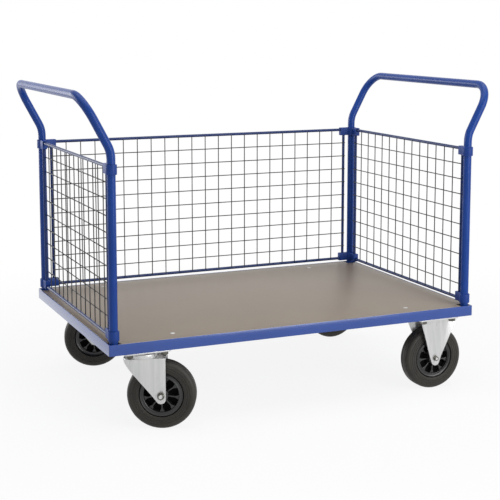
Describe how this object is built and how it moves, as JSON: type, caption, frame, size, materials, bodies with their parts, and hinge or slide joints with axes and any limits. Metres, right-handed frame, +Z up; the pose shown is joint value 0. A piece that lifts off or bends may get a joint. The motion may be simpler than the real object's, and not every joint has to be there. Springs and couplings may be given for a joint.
{
  "type": "mesh trolley",
  "caption": "Platform trolley with a flat deck, mesh back and ends, outward-leaning tube push handles, swivel casters at one end and fixed casters at the other.",
  "frame": {"origin": "on the floor, under the middle of the deck", "axes": "+X along the deck towards the fixed casters, +Y from the open front to the back panel, +Z up"},
  "size_m": [1.3508, 0.828, 0.9735],
  "materials": {
    "blue_paint": "satin gloss blue powder coat",
    "mesh_wire": "dull grey drawn wire",
    "clip_blue": "moulded blue plastic, satin",
    "deck_board": "taupe coated board, satin with soft reflections",
    "zinc": "bright zinc-plated pressed steel",
    "tyre": "matt black rubber with fine sidewall rings",
    "rim": "black moulded plastic",
    "bush": "natural nylon"
  },
  "bodies": {
    "trolley": {"front_rail": "blue_paint", "back_rail": "blue_paint", "left_rail": "blue_paint", "right_rail": "blue_paint", "left_crossmember": "blue_paint", "middle_crossmember": "blue_paint", "right_crossmember": "blue_paint", "left_bow": "blue_paint", "right_bow": "blue_paint", "back_panel": "blue_paint", "left_panel": "blue_paint", "right_panel": "blue_paint", "back_mesh": "mesh_wire", "left_mesh": "mesh_wire", "right_mesh": "mesh_wire", "deck_board": "deck_board", "front_left_clips": "clip_blue", "front_right_clips": "clip_blue", "back_left_clips": "clip_blue", "back_right_clips": "clip_blue", "fixed_forks": "zinc", "fixed_axle_bolts": "zinc", "fixed_axle_sleeves": "zinc", "swivel_plates": "zinc", "kingpins": "zinc"},
    "front_left_swivel": {"front_left_fork": "zinc", "front_left_axle_bolt": "zinc", "front_left_axle_sleeve": "zinc"},
    "back_left_swivel": {"back_left_fork": "zinc", "back_left_axle_bolt": "zinc", "back_left_axle_sleeve": "zinc"},
    "front_left_wheel": {"front_left_tyre": "tyre", "front_left_rim": "rim", "front_left_bush": "bush"},
    "back_left_wheel": {"back_left_tyre": "tyre", "back_left_rim": "rim", "back_left_bush": "bush"},
    "front_right_wheel": {"front_right_tyre": "tyre", "front_right_rim": "rim", "front_right_bush": "bush"},
    "back_right_wheel": {"back_right_tyre": "tyre", "back_right_rim": "rim", "back_right_bush": "bush"}
  },
  "joints": [
    {"name": "front_left_swivel_turn", "type": "hinge", "parent": "trolley", "child": "front_left_swivel", "pos_m": [-0.483, -0.342, 0.211], "axis": [0, 0, 1], "continuous": true},
    {"name": "back_left_swivel_turn", "type": "hinge", "parent": "trolley", "child": "back_left_swivel", "pos_m": [-0.483, 0.342, 0.211], "axis": [0, 0, 1], "continuous": true},
    {"name": "front_left_wheel_spin", "type": "hinge", "parent": "front_left_swivel", "child": "front_left_wheel", "pos_m": [-0.43357, -0.36611, 0.1], "axis": [0.4384, 0.8988, 0], "continuous": true},
    {"name": "back_left_wheel_spin", "type": "hinge", "parent": "back_left_swivel", "child": "back_left_wheel", "pos_m": [-0.42987, 0.32776, 0.1], "axis": [0.2588, 0.9659, 0], "continuous": true},
    {"name": "front_right_wheel_spin", "type": "hinge", "parent": "trolley", "child": "front_right_wheel", "pos_m": [0.483, -0.342, 0.1], "axis": [0, 1, 0], "continuous": true},
    {"name": "back_right_wheel_spin", "type": "hinge", "parent": "trolley", "child": "back_right_wheel", "pos_m": [0.483, 0.342, 0.1], "axis": [0, 1, 0], "continuous": true}
  ]
}
